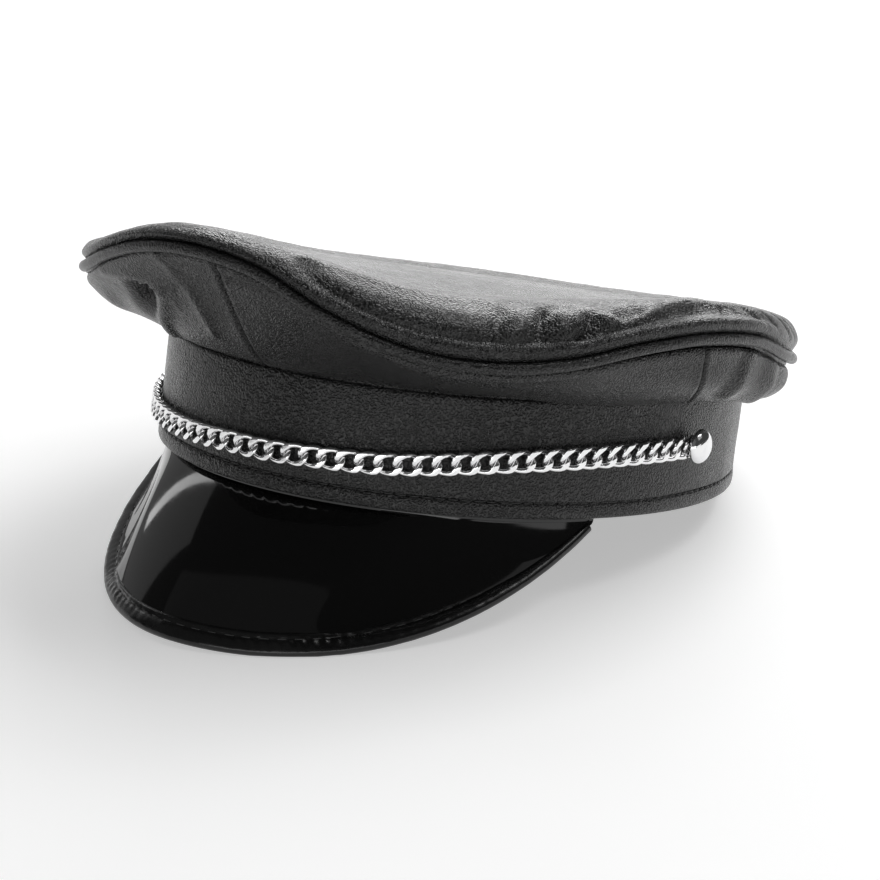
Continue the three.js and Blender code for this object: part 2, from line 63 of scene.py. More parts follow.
# The peak: sides is the share of its edge at which its hollowed ends begin, and over how much of it
# they form. covered is the share of the way to its corners that the sheet spans.
PEAK = {
    "sheet": 1.6, "corner": 71.5, "reach": 28.9, "drop": 43.1, "tuck": 5.0, "gap": 0.35,
    "spread": 0.82, "camber": 2.4, "side_camber": -3.5, "sides": (0.35, 0.2), "covered": 0.985,
}
# The chain: overlap lengthens each half of a link, end_play sets the end links off the posts, and
# polished is how far out the flat faces lie, as a share of the wire's radius
CHAIN = {
    "wire": 1.78, "pitch": 5.7, "width": 7.3, "twist": 0.95, "stand_off": 2.15, "overlap": 0.02,
    "end_play": 0.495, "polished": 0.38,
}
STUD = {"angle": 91.5, "lift": 0.4, "radius": 5.45, "dome": 3.1, "seat": 3.9, "post": 1.15}
WASHER = {"radius": 3.4, "thick": 0.9, "chamfer": 0.2, "gap": 0.5}
# Of a row of stitches, stitch is the share of the pitch that each one spans, thread is its thickness
# and lies is how far out its middle lies
HEM = {"height": 5.0, "pitch": 3.9, "stitch": 0.8, "thread": 0.46, "lies": -0.12}
BINDING = {"seam": 4.0, "pitch": 5.3, "pucker": 3.6, "stitch": 0.66, "thread": 0.42, "lies": 1.36}
STITCH = {"dip": 0.7, "plump": 0.35}

# Height of the piping above the band's lower rim
RIM = {
    "angle": [0, 12, 24, 36, 48, 60, 72, 84, 98, 112, 126, 150, 180],
    "left": [72, 69.2, 59.5, 52.2, 49.9, 51.7, 56.4, 58.5, 56, 48.5, 43, 39.5, 37],
    "right": [72, 69.5, 63, 56, 52, 51.2, 51.8, 51, 45.5, 41.5, 39.5, 37.5, 37],
}

# The quarters' section: out of the band's face and up from its top edge, first where the leather
# turns up over the band and then where it is fullest
QUARTER = {
    "angle": [0, 25, 45, 65, 88, 108, 125, 150, 180],
    "low_out": [5.5, 6, 7, 7, 6.5, 6.5, 6.5, 6, 6],
    "low_up": [3.4, 3.2, 3.2, 1.0, 0.5, -3, -5, -7, -8],
    "full_out": [17, 17, 18, 17, 17, 14.5, 13.5, 12.5, 12],
    "full_up": [13.5, 9.5, 6.5, 7, 8, 3, -0.5, -3.8, -5],
}

# The shoulder of the top panel: its height above the piping, and how far in it lies
SHOULDER = {
    "angle": [0, 15, 30, 45, 60, 75, 90, 120, 150, 180],
    "left": [6.0, 6.4, 13.8, 16.4, 13.9, 9.6, 9, 13, 12, 8.8],
    "right": [6.2, 6.2, 7.2, 9.5, 9, 8, 8, 7.6, 7, 8.8],
    "reach": [9, 12, 18, 25, 23, 16, 12, 11, 11, 11],
}

# Height of the chain's middle line above the band's lower rim
CHAIN_LINE = {
    "angle": [0, 15, 30, 50, 70, 92],
    "left": [12, 13, 14.3, 17.8, 19.9, 20.6],
    "right": [12, 11.1, 10.7, 11.2, 14.6, 20.6],
}

# Seams between the quarters: their angle at the band and at the piping
SEAMS = {"front": (1.5, 4.5), "left": (88.5, 85.0), "back": (180.0, 180.0), "right": (-88.0, -86.0)}
QUARTERS = [
    ("front_left_quarter", "quarter_front_left", "front", "left"),
    ("back_left_quarter", "quarter_back_left", "left", "back"),
    ("back_right_quarter", "quarter_back_right", "back", "right"),
    ("front_right_quarter", "quarter_front_right", "right", "front"),
]

# About how many millimetres along the leather one degree round the cap spans
TOP_DEGREE = 2.0
QUARTER_DEGREE = 1.75

# Folds across a leather panel, each along a path. A point of it is an angle round the cap and a
# distance along the leather from the piping, and the fold's rise and width are in millimetres too.
TOP_FOLDS = [
    ([(49.8, 21), (48.6, 11)], -0.9, 2.6),
    ([(52.8, 20), (51.8, 11)], 0.7, 3.2),
    ([(56.4, 19.5), (55.8, 16), (55.2, 11)], -1.5, 2.2),
    ([(59.6, 16), (59.2, 13), (58.8, 9)], 1.2, 3.0),
    ([(64.2, 15), (62.8, 11), (61.8, 8)], -1.7, 2.0),
    ([(66.0, 11), (65.0, 8)], 0.8, 2.2),
    ([(69, 13), (72.5, 13.5)], -0.9, 2.6),
    ([(80, 15.5), (88, 18)], 0.8, 6.0),
    ([(-44, 10), (-46, 28)], 1.1, 8.0),
    ([(-56, 10), (-57, 26)], -1.6, 8.0),
    ([(91.5, 12.5), (89.8, 5)], -0.5, 1.5),
    ([(94.8, 11.4), (93.6, 5)], -0.4, 1.3),
    ([(99, 12.6), (100.6, 4.5)], -0.5, 1.5),
    ([(104, 12.2), (106, 5)], -0.45, 1.4),
    ([(109.5, 13.2), (113, 5.5)], -0.7, 1.5),
    ([(114, 12.4), (117.6, 6)], -0.6, 1.4),
    ([(118.6, 12.8), (122, 6)], -0.6, 1.4),
]
# The same for folds with a sharp crest
TOP_CREASES = [
    ([(18, 16), (20.6, 17.6), (26.7, 21.4), (33, 24), (40, 26.5), (51, 31), (57, 29), (61, 22)], 0.9, 4.5),
    ([(63.6, 17), (64.9, 14.6), (66.9, 10.6), (69, 8.9), (72.4, 10.6), (76.7, 13.2), (84, 14)], 1.2, 1.9),
]
QUARTER_FOLDS = [
    ([(-42, 8), (-37, 14)], 2.4, 7.0),
    ([(-13.0, 20), (-15, 25), (-18.6, 31), (-21.5, 38)], 1.6, 2.8),
    ([(24, 6), (20, 34)], -1.6, 16.0),
    ([(99, 3), (95.8, 20)], 0.8, 2.6),
    ([(96.8, 4), (93, 22)], -1.2, 3.2),
    ([(104, 6), (101, 24)], -1.0, 5.0),
    ([(109, 4), (108, 20)], 0.8, 4.0),
    ([(113, 5), (112, 22)], -0.8, 3.6),
    ([(119, 4), (119, 20)], 0.6, 4.0),
    ([(126, 4), (122, 22)], -1.2, 7.0),
    ([(-110, 4), (-104, 26)], -1.8, 10.0),
]
QUARTER_CREASES = [
    ([(-9.4, 3), (-7.0, 10), (-4.9, 17), (-4.1, 26), (-4.2, 36)], 1.5, 1.9),
    ([(-28, 5.4), (-21, 9.6), (-16.5, 13.8), (-13, 17.3), (-9.6, 18.2)], 1.7, 1.8),
    ([(-12.2, 18), (-10.6, 22), (-10.8, 26)], 0.7, 1.3),
]

# The deep hollow in the front right quarter: a ledge above it and a wall beside it, each as
# angles round the cap and distances from the piping, then how deep it is and how wide its slopes are
HOLLOW = {
    "ledge": ([-30, -21, -16.5, -13, -10], [4.6, 9.8, 14.2, 17.4, 18.5]),
    "wall": ([-12.4, -14.1, -17.1, -21.5, -25], [16, 19.4, 24.9, 30.6, 36]),
    "depth": 10.0, "edge": 4.2, "side": (2.0, 19.0), "foot": (8.0, 13.0),
}

# Soft ridges and grooves, each with its rise, the distance at which it lies and its width. On the top
# panel the distance is the height above the piping, on a quarter it is the way down from the piping,
# at a seam the way from it, on the band the height, and on the binding the way in from the peak's
# edge. ALLOWANCE is how far the seam allowance shows, where it is thin and where it is thick.
TUCK_RIDGE = (0.8, 4.2, 1.7)
TUCK_GROOVE = (-1.3, 7.6, 1.5)
PIPING_GROOVE = (-1.4, 2.9, 0.7)
ALLOWANCE = (0.15, 0.9)
ALLOWANCE_RIDGE = (1.0, 5.4, 1.3)
ALLOWANCE_GROOVE = (-0.7, 8.2, 1.6)
SEAM_GROOVE = (-1.5, 0.0, 0.4)
SEAM_RIDGE = (0.22, 1.6, 1.1)
STITCH_GROOVE = (-0.22, HEM["height"], 0.55)
HEM_PUFF = (0.014, 3.4, 1.2)
BINDING_PUCKER = (0.13, 3.1, 1.3)

# Where the folds, tucks, lumps and puckers fade in or out: the place at which they start or end, and
# how far that takes. Most are millimetres, along the leather or in from the crown's outline. Where a
# tuck or an allowance starts and ends are degrees round the cap, what concerns a quarter's foot are
# shares of its section, and the peak's turning is in shares of its edge from the front to a corner.
TOP_FADE = {
    "folds": (4, 4), "creases": (6, 3), "tuck_start": (12, 14), "tuck_end": (114, 20),
    "tuck_reach": (8, 3), "sheet_edge": (4, 20), "roll_start": (-2, 3), "roll_end": (34, 20),
}
SHEET_MIDDLE = 20
QUARTER_FADE = {
    "foot": (0.1, 0.9), "allowance_start": (3, 6), "allowance_end": (62, 22), "lumps": (3, 8),
    "lumps_foot": (0, 0.2),
}
TURNING_FADE = {"start": (0.1, 0.3), "end": (0.72, 0.3)}

# Soft lumps of each surface: their rise, their size and the number that tells them apart. The rises
# of the cord are shares of its radius.
LUMPS = {
    "sheet": (0.22, 24, 1),
    "roll": (0.16, 7, 2),
    "quarter": (0.35, 18, 3),
    "cord": (0.04, 5, 4),
    "cord_long": (0.03, 15, 5),
    "band": (0.4, 34, 6),
    "band_fine": (0.12, 9, 7),
    "binding": (0.1, 6, 8),
    "binding_fine": (0.06, 2.4, 9),
}
LUMP_STEP = (17.3, 5.1, 9.7)


# Reading the sizes


def wrap(angle):
    return (np.asarray(angle, float) + 180) % 360 - 180


def read(table, column, angle):
    """A table's column at each angle, on a smooth line through its rows."""
    knots = np.array(table["angle"], float)
    values = np.array(table[column], float)
    slopes = np.zeros_like(values)
    slopes[1:-1] = (values[2:] - values[:-2]) / (knots[2:] - knots[:-2])
    angle = np.minimum(np.abs(wrap(angle)), knots[-1])
    i = np.clip(np.searchsorted(knots, angle, side="right") - 1, 0, len(knots) - 2)
    span = knots[i + 1] - knots[i]
    t = (angle - knots[i]) / span
    return (
        values[i] * (1 + 2 * t) * (1 - t) ** 2
        + values[i + 1] * t * t * (3 - 2 * t)
        + span * slopes[i] * t * (1 - t) ** 2
        + span * slopes[i + 1] * t * t * (t - 1)
    )


def by_side(table, angle):
    return np.where(wrap(angle) < 0, read(table, "right", angle), read(table, "left", angle))


def mix(a, b, t):
    return a + (b - a) * t


def smooth(t):
    t = np.clip(t, 0, 1)
    return t * t * (3 - 2 * t)


def rising(x, start, over):
    """From 0 before start to 1 past the distance over."""
    return smooth((x - start) / over)


def falling(x, end, over):
    """From 1 to 0 at end, over the distance before it."""
    return smooth((end - x) / over)


def ridge(x, rise, middle, width):
    """A soft ridge, or a groove where its rise is negative."""
    return rise * np.exp(-(((x - middle) / width) ** 2))


def length(v):
    return np.linalg.norm(v, axis=-1, keepdims=True)


def unit(v):
    return v / np.maximum(length(v), 1e-12)


def points(x, y, z):
    return np.stack(np.broadcast_arrays(x, y, z), axis=-1).astype(float)


def on_band(angle, out=0.0, height=0.0):
    """A point on the band's outer face, moved out along the face's normal."""
    a = np.radians(angle)
    way = unit(points(np.sin(a) * BAND["half_length"], -np.cos(a) * BAND["half_width"], 0))
    foot = points(BAND["half_width"] * np.sin(a), -BAND["half_length"] * np.cos(a), height)
    return foot + way * np.asarray(out, float)[..., None]


def band_way(angle):
    return on_band(angle, 1.0) - on_band(angle)


def on_crown(angle, share=1.0, height=0.0):
    """A point on the crown's outline in plan, drawn in towards its centre by share."""
    a = np.radians(angle)
    x = CROWN["half_width"] * share * np.sin(a)
    y = -CROWN["forward"] - CROWN["half_length"] * share * np.cos(a)
    return points(x, y, height)


def crown_way(angle):
    a = np.radians(angle)
    return unit(points(np.sin(a) * CROWN["half_length"], -np.cos(a) * CROWN["half_width"], 0))


def rim_height(angle):
    return by_side(RIM, angle)


def along_spline(controls, t):
    """A point on the smooth line through the controls, at t from 0 to 1."""
    p = t * (len(controls) - 1)
    i = min(int(p), len(controls) - 2)
    w = p - i
    a, b, c, d = (controls[min(max(k, 0), len(controls) - 1)] for k in (i - 1, i, i + 1, i + 2))
    return 0.5 * (
        2 * b + (c - a) * w + (2 * a - 5 * b + 4 * c - d) * w * w + (3 * b - a - 3 * c + d) * w**3
    )


def control_points(angle, *pairs):
    """The controls of a section at each angle, from pairs of out and up."""
    level = np.ones_like(angle)
    return [np.stack((out * level, up * level)) for out, up in pairs]


def surface_ways(grid):
    """The way out of a sheet at each of its points."""
    across = np.gradient(grid, axis=1)
    up = np.gradient(grid, axis=0)
    return unit(np.cross(across, up))


CREST = 0.3


def folded(x, y, folds, scale, sharp=False):
    """How far a set of folds moves the points (x degrees, y millimetres) of a sheet."""
    rise = np.zeros(np.broadcast(x, y).shape)
    for path, crest, width in folds:
        nearest = np.full(rise.shape, np.inf)
        for (x0, y0), (x1, y1) in zip(path, path[1:]):
            dx, dy = (x1 - x0) * scale, y1 - y0
            px, py = wrap(x - x0) * scale, y - y0
            t = np.clip((px * dx + py * dy) / (dx * dx + dy * dy), 0, 1)
            nearest = np.minimum(nearest, (px - t * dx) ** 2 + (py - t * dy) ** 2)
        if sharp:
            rise += crest * np.exp(-(np.sqrt(nearest + CREST**2) - CREST) / width)
        else:
            rise += crest * np.exp(-nearest / width**2)
    return rise


def hollow(angle, below):
    """How far the leather sinks in the hollow under the front."""
    under = below - np.interp(angle, *HOLLOW["ledge"])
    wall_angle, wall_below = HOLLOW["wall"]
    beside = (np.interp(below, wall_below, wall_angle) - angle) * QUARTER_DEGREE
    inside = smooth(under / HOLLOW["edge"]) * smooth(beside / HOLLOW["edge"])
    side, foot = HOLLOW["side"], HOLLOW["foot"]
    shallow = (1 - rising(beside, *side)) * (1 - rising(under, *foot))
    return -HOLLOW["depth"] * inside * shallow


def lumps(grid, kind):
    """The soft lumps of a surface, which are the same in each run."""
    rise, size, number = LUMPS[kind]
    shift = Vector([step * number for step in LUMP_STEP])
    flat = grid.reshape(-1, 3) / size
    heights = [noise.noise(Vector(p) + shift) for p in flat.tolist()]
    return rise * np.array(heights).reshape(grid.shape[:-1])


# The top panel: a taut sheet over a rolled edge

# TOP_EDGE is where its section starts in the seam, out from the crown's outline and up from the
# piping. TOP_BULGE is how far out the roll goes, and TOP_ROLL the share of the shoulder's reach at
# which it turns over, each with a share of the shoulder's height. TOP_TURN_IN is how far in from the
# shoulder the roll ends.
TOP_ROLL_ROWS = 50
TOP_FLAT_ROWS = 22
TOP_COLUMNS = 640
TOP_SAG = 2.2
TOP_SAG_CURVE = 0.6
TOP_EDGE = [(-1.6, 0.4), (-0.4, 2.2)]
TOP_BULGE = (1.2, 0.36)
TOP_ROLL = (0.24, 0.84)
TOP_TURN_IN = 12.0
TOP_CROWD = 14.0
TOP_CROWD_AT = 75.0
TOP_WAVES = 7
SHEET_STRETCH = [0.5, 1, 0.2]


def shoulder_harmonics():
    """The shoulder's height round the cap as waves, which the sheet evens out towards its middle."""
    angle = np.arange(0, 360, 3.0)
    height = rim_height(angle) + by_side(SHOULDER, angle)
    waves = []
    for order in range(TOP_WAVES):
        turn = np.radians(order * angle)
        scale = (1 if order == 0 else 2) / len(angle)
        waves.append((scale * np.sum(height * np.cos(turn)), scale * np.sum(height * np.sin(turn))))
    return waves


WAVES = shoulder_harmonics()


def taut_height(share, angle):
    """The height of the taut sheet, at a share of the way from its middle to the shoulder."""
    height = 0.0
    for order, (cosine, sine) in enumerate(WAVES):
        turn = np.radians(order * angle)
        height = height + share**order * (cosine * np.cos(turn) + sine * np.sin(turn))
    sunk = 1 - share
    return height - TOP_SAG * np.sin(np.pi * sunk**TOP_SAG_CURVE) * share


def top_panel_grid():
    """The panel's rows, from the edge inside the seam to the middle. Columns crowd at the gathers."""
    even = 360 * np.linspace(0, 1, TOP_COLUMNS + 1)
    angle = even - TOP_CROWD * np.sin(np.radians(even - TOP_CROWD_AT))
    angle = angle - TOP_CROWD * np.sin(np.radians(TOP_CROWD_AT))
    rim = rim_height(angle)
    reach = read(SHOULDER, "reach", angle)
    radius = length(on_crown(angle) - on_crown(angle, 0.0))[:, 0]
    inner = radius - reach
    height = taut_height(1.0, angle) - rim
    turn_in = 1 - TOP_TURN_IN / inner
    controls = control_points(
        angle,
        *TOP_EDGE,
        (TOP_BULGE[0], mix(CURL, height, TOP_BULGE[1])),
        (-TOP_ROLL[0] * reach, mix(CURL, height, TOP_ROLL[1])),
        (-reach, height),
        (-reach - TOP_TURN_IN, taut_height(turn_in, angle) - rim),
    )
    rows, distances, rises = [], [], []
    for t in np.linspace(0, 1, TOP_ROLL_ROWS + 1):
        out, up = along_spline(controls, t)
        rows.append(on_crown(angle, 1 + out / radius, rim + up))
        distances.append(-out)
        rises.append(up)
    for share in np.linspace(1, 0, TOP_FLAT_ROWS + 1)[1:]:
        taut = share * turn_in
        rows.append(on_crown(angle, taut * inner / radius, taut_height(taut, angle)))
        distances.append(radius - taut * inner)
        rises.append(np.full_like(angle, np.inf))
    grid, inward, height = np.stack(rows), np.stack(distances), np.stack(rises)
    way = surface_ways(grid)
    steps = length(np.diff(grid, axis=0))[..., 0]
    along = np.concatenate([np.zeros((1, grid.shape[1])), np.cumsum(steps, axis=0)])
    fade = TOP_FADE
    creases = folded(angle[None, :], along, TOP_CREASES, TOP_DEGREE, sharp=True)
    rise = folded(angle[None, :], along, TOP_FOLDS, TOP_DEGREE) * rising(along, *fade["folds"])
    rise += creases * rising(along, *fade["creases"])
    tucked = rising(angle, *fade["tuck_start"]) * falling(angle, *fade["tuck_end"])
    tucked = tucked * falling(inward, *fade["tuck_reach"])
    rise += tucked * (ridge(height, *TUCK_RIDGE) + ridge(height, *TUCK_GROOVE))
    on_sheet = rising(inward, *fade["sheet_edge"]) * falling(inward, radius, SHEET_MIDDLE)
    on_roll = rising(inward, *fade["roll_start"]) * falling(inward, *fade["roll_end"])
    rise += lumps(grid * SHEET_STRETCH, "sheet") * on_sheet
    rise += lumps(grid, "roll") * on_roll
    way[-1] = (0, 0, 1)
    return grid + way * rise[..., None]


# The quarters: four panels that roll out over the band and up to the piping

# QUARTER_FOOT is where the section starts at the band's top edge. QUARTER_TURN is how far out it
# turns, with a share of the height of its low point. QUARTER_TOP are its last points, in from the
# crown's outline and down from the piping.
QUARTER_ROWS = 84
QUARTER_COLUMNS = 200
QUARTER_FOOT = [(-1.3, 0.6), (-0.5, 1.3)]
QUARTER_TURN = (1.7, 0.12)
QUARTER_TOP = [(0.9, 2.3), (1.8, 0.4)]
SEAM_STEPS = [0, 0.27, 0.38, 0.5, 0.75, 1.1, 1.6, 2.2, 3.0]
SEAM_GAP = 0.26


def quarter_controls(angle):
    """A quarter's section, out from the band's face and up from its top edge, to the piping."""
    low_out, low_up = read(QUARTER, "low_out", angle), read(QUARTER, "low_up", angle)
    away = on_crown(angle) - on_band(angle)
    overhang = length(away)[:, 0]
    slant = np.sum(unit(away) * crown_way(angle), axis=-1)
    rim_up = rim_height(angle) - BAND["height"]
    turn, share = QUARTER_TURN
    return control_points(
        angle,
        *QUARTER_FOOT,
        (turn, mix(turn, low_up, share)),
        (low_out, low_up),
        (read(QUARTER, "full_out", angle), read(QUARTER, "full_up", angle)),
        *((overhang - inward / slant, rim_up - down) for inward, down in QUARTER_TOP),
    )


def quarter_grid(start, end):
    """The rows of a quarter, from the band up to the piping, with its edges turned in at the seams."""
    low, high = SEAMS[start], SEAMS[end]
    edge = np.array(SEAM_STEPS)
    rows, angles = [], []
    for t in np.linspace(0, 1, QUARTER_ROWS + 1):
        first = mix(low[0], low[1], t)
        turn = (mix(high[0], high[1], t) - first) % 360
        span = turn * QUARTER_DEGREE
        middle = np.linspace(edge[-1], span - edge[-1], QUARTER_COLUMNS - 2 * len(edge) + 2)[1:-1]
        place = np.concatenate([edge, middle, span - edge[::-1]])
        angle = first + turn * np.clip(place, SEAM_GAP, span - SEAM_GAP) / span
        out, up = along_spline(quarter_controls(angle), t)
        foot = on_band(angle, 0.0, BAND["height"])
        way = unit(on_crown(angle, 1.0, BAND["height"]) - foot)
        rows.append(foot + way * out[:, None] + points(0, 0, up))
        angles.append(angle)
    grid, angle = np.stack(rows), np.stack(angles)
    steps = length(np.diff(grid, axis=0))[..., 0]
    below = np.concatenate([np.cumsum(steps[::-1], axis=0)[::-1], np.zeros((1, grid.shape[1]))])
    way = surface_ways(grid)
    t = np.linspace(0, 1, QUARTER_ROWS + 1)[:, None]
    fade = QUARTER_FADE
    loose = np.sin(np.pi * rising(t, *fade["foot"])) ** 0.5
    rise = folded(angle, below, QUARTER_FOLDS, QUARTER_DEGREE) * loose
    rise += folded(angle, below, QUARTER_CREASES, QUARTER_DEGREE, sharp=True) * loose
    rise += hollow(wrap(angle), below)
    thick = rising(angle, *fade["allowance_start"]) * falling(angle, *fade["allowance_end"])
    allowance = mix(*ALLOWANCE, thick)
    rise += ridge(below, *PIPING_GROOVE)
    rise += allowance * (ridge(below, *ALLOWANCE_RIDGE) + ridge(below, *ALLOWANCE_GROOVE))
    rise += lumps(grid, "quarter") * rising(below, *fade["lumps"]) * rising(t, *fade["lumps_foot"])
    for side in (0, -1):
        distance = length(grid - grid[:, side][:, None])[..., 0]
        rise += ridge(distance, *SEAM_GROOVE) + ridge(distance, *SEAM_RIDGE)
    return grid + way * rise[..., None]


# The piping: a covered cord in the seam between the quarters and the top


def piping_point(angle, turn, radius=PIPING["radius"]):
    """A point of the cord, so many degrees up round it from its outer side."""
    out = crown_way(angle)
    middle = on_crown(angle, 1.0, rim_height(angle)) + PIPING["out"] * out
    ring = np.radians(turn)
    return middle + radius * (out * np.cos(ring)[..., None] + points(0, 0, np.sin(ring)))


# The band: an oval wall of leather with a stitched hem


def band_turn_length(angle):
    """How far round the band each angle lies, in millimetres along its outer face."""
    fine = np.linspace(-180, 180, 1441)
    steps = length(np.diff(on_band(fine), axis=0))[:, 0]
    travelled = np.concatenate([[0], np.cumsum(steps)])
    return np.interp(wrap(angle), fine, travelled), travelled[-1]


# The peak and its binding


def bezier(a, b, c, d, t):
    t = np.asarray(t, float)[..., None]
    s = 1 - t
    return s**3 * a + 3 * s * s * t * b + 3 * s * t * t * c + t**3 * d


PEAK_TOP = -(PEAK["sheet"] / 2 + 0.5)
PEAK_SEAT = -(BAND["wall"] + PEAK["gap"] + PEAK["sheet"] / 2)
PEAK_CORNER = on_band(PEAK["corner"], PEAK_SEAT, PEAK_TOP)
PEAK_FRONT = np.array([0, -(BAND["half_length"] + PEAK["reach"]), -PEAK["drop"]])
PEAK_SIDE_PULL = np.array([-3.5, -69.5, -46])
PEAK_FRONT_PULL = np.array([21.5, 0, 0])


def peak_edge(share):
    """A point of the peak's outer edge, from -1 at the right corner to 1 at the left."""
    share = np.asarray(share, float)
    side, front = PEAK_CORNER + PEAK_SIDE_PULL, PEAK_FRONT + PEAK_FRONT_PULL
    edge = bezier(PEAK_CORNER, side, front, PEAK_FRONT, 1 - np.abs(share))
    edge[..., 0] *= np.where(share < 0, -1, 1)
    return edge


def on_peak_root(share, height=PEAK_TOP):
    """A point of the peak's sheet inside the band, at first where it passes under the band's rim."""
    spread = np.sign(share) * np.abs(share) ** PEAK["spread"]
    return on_band(PEAK["corner"] * spread, PEAK_SEAT, height)


def on_peak(share, v):
    """A point of the peak's sheet, from its edge (v = 0) to where it passes under the band (v = 1)."""
    edge = peak_edge(share)
    across = on_peak_root(share) - edge
    lift = unit(points(0 * across[..., 0], -across[..., 2], across[..., 1]))
    lift = lift * np.where(lift[..., 2:] < 0, -1, 1)
    run = length(across)[..., 0]
    camber = mix(PEAK["camber"], PEAK["side_camber"], rising(np.abs(share), *PEAK["sides"]))
    bow = camber * 4 * v * (1 - v) * np.minimum(1, run / PEAK["drop"])
    return edge + across * np.asarray(v)[..., None] + lift * bow[..., None]


# Making pieces


def clear_selection():
    for other in bpy.context.selected_objects:
        other.select_set(False)


def only(piece):
    """Selects this piece alone."""
    clear_selection()
    piece.select_set(True)
    bpy.context.view_layer.objects.active = piece


def placed_points(piece):
    flat = np.zeros(len(piece.data.vertices) * 3)
    piece.data.vertices.foreach_get("co", flat)
    return flat.reshape(-1, 3)


def move_points(piece, place):
    piece.data.vertices.foreach_set("co", np.ravel(place))


TORUS = 10


def plain_torus(long_segments, round_segments):
    """A torus to be laid along a line."""
    clear_selection()
    bpy.ops.mesh.primitive_torus_add(
        major_radius=TORUS, minor_radius=1, major_segments=long_segments, minor_segments=round_segments
    )
    return bpy.context.object


def formed_sheet(name, grid, join=False):
    """A flat grid laid over the given points. join sews edges that meet."""
    rows, columns = grid.shape[0] - 1, grid.shape[1] - 1
    clear_selection()
    bpy.ops.mesh.primitive_grid_add(x_subdivisions=columns, y_subdivisions=rows, size=2)
    piece = bpy.context.object
    piece.name = name
    place = np.rint((placed_points(piece)[:, :2] + 1) / 2 * [columns, rows]).astype(int)
    move_points(piece, grid[place[:, 1], place[:, 0]])
    if join:
        bpy.ops.object.mode_set(mode="EDIT")
        bpy.ops.mesh.select_all(action="SELECT")
        bpy.ops.mesh.remove_doubles(threshold=0.001)
        bpy.ops.object.mode_set(mode="OBJECT")
    return piece


def thicken(piece, thickness):
    """Gives a sheet its wall, half on each side, with the second finish inside."""
    only(piece)
    wall = piece.modifiers.new("wall", "SOLIDIFY")
    wall.thickness = thickness
    wall.offset = 0
    wall.material_offset = 1
    bpy.ops.object.modifier_apply(modifier=wall.name)


def smooth_shade(piece, angle=180):
    only(piece)
    bpy.ops.object.shade_smooth_by_angle(angle=math.radians(angle))


def settle(piece, finishes, slot, *nodes):
    """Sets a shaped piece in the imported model's frame, pressed flat where it meets the surface."""
    piece.data.transform(AS_IT_RESTS)
    place = placed_points(piece)
    place[:, 2] = np.maximum(place[:, 2], 0)
    move_points(piece, place)
    piece.data.materials.clear()
    for finish in finishes:
        piece.data.materials.append(finish)
    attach(piece, "root")
    if nodes:
        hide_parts(*nodes)
    return piece


# Finishes


class Finish:
    """A material and short ways to add to its nodes."""

    def __init__(self, name):
        self.material = bpy.data.materials.new(name)
        self.material.use_nodes = True
        self.nodes = self.material.node_tree.nodes
        self.links = self.material.node_tree.links
        self.shader = self.nodes["Principled BSDF"]
        self.place = self.add("ShaderNodeTexCoord").outputs["Object"]

    def add(self, kind, inputs=(), **settings):
        node = self.nodes.new(kind)
        for key, value in settings.items():
            setattr(node, key, value)
        for key, value in dict(inputs).items():
            if isinstance(value, bpy.types.NodeSocket):
                self.links.new(value, node.inputs[key])
            else:
                node.inputs[key].default_value = value
        return node

    def set(self, **values):
        for key, value in values.items():
            socket = self.shader.inputs[key.replace("_", " ")]
            if isinstance(value, bpy.types.NodeSocket):
                self.links.new(value, socket)
            else:
                socket.default_value = value

    def noise(self, scale, detail=2.0, vector=None):
        inputs = {"Vector": vector or self.place, "Scale": scale, "Detail": detail}
        return self.add("ShaderNodeTexNoise", inputs)

    def ramp(self, value, *stops):
        node = self.add("ShaderNodeValToRGB", {"Fac": value})
        band = node.color_ramp
        while len(band.elements) < len(stops):
            band.elements.new(0.5)
        for element, (place, tone) in zip(band.elements, stops):
            element.position = place
            element.color = (tone, tone, tone, 1) if isinstance(tone, float) else (*tone, 1)
        return node.outputs["Color"]

    def bump(self, height, distance, strength=1.0, under=None):
        inputs = {"Height": height, "Distance": distance, "Strength": strength}
        if under is not None:
            inputs["Normal"] = under
        return self.add("ShaderNodeBump", inputs).outputs["Normal"]


def leather(name, shine=0.22, dull=0.31):
    """Black leather with a rippled grain: short wavy cushions parted by fine creases, with painted shade
    in the creases and a faint painted highlight on the cushions.
    """
    tone = 0.022
    f = Finish(name)
    sway = f.noise(330.0, 1.0)
    swayed = f.add(
        "ShaderNodeVectorMath",
        {0: sway.outputs["Color"], 1: (0.0016, 0.0016, 0.0016), 2: f.place},
        operation="MULTIPLY_ADD",
    ).outputs["Vector"]
    waves = f.noise(1560.0, 0.0, swayed).outputs["Fac"]
    cushions = f.ramp(waves, (0.36, 0.0), (0.47, 0.66), (0.7, 1.0))
    soft = f.noise(55.0, 3.0).outputs["Fac"]
    f.set(
        # The base colour is painted shade and highlight: a third of the tone in the grain's creases, and
        # 1.15 times the tone on the cushions' tops.
        Base_Color=f.ramp(cushions, (0.0, tone * 0.3), (0.6, tone), (1.0, tone * 1.15)),
        Roughness=f.ramp(soft, (0.35, shine), (0.7, dull)),
        Normal=f.bump(cushions, 0.0004, 1.0, f.bump(soft, 0.0009, 0.3)),
    )
    f.shader.inputs["IOR"].default_value = 1.42
    return f.material


def suede(name):
    """The leather's rough inner side."""
    f = Finish(name)
    nap = f.noise(900.0, 5.0).outputs["Fac"]
    cloud = f.noise(60.0, 2.0).outputs["Fac"]
    f.set(
        Base_Color=f.ramp(cloud, (0.3, (0.018, 0.017, 0.017)), (0.7, (0.03, 0.029, 0.028))),
        Roughness=0.92,
        Normal=f.bump(nap, 0.00012, 0.8),
    )
    return f.material


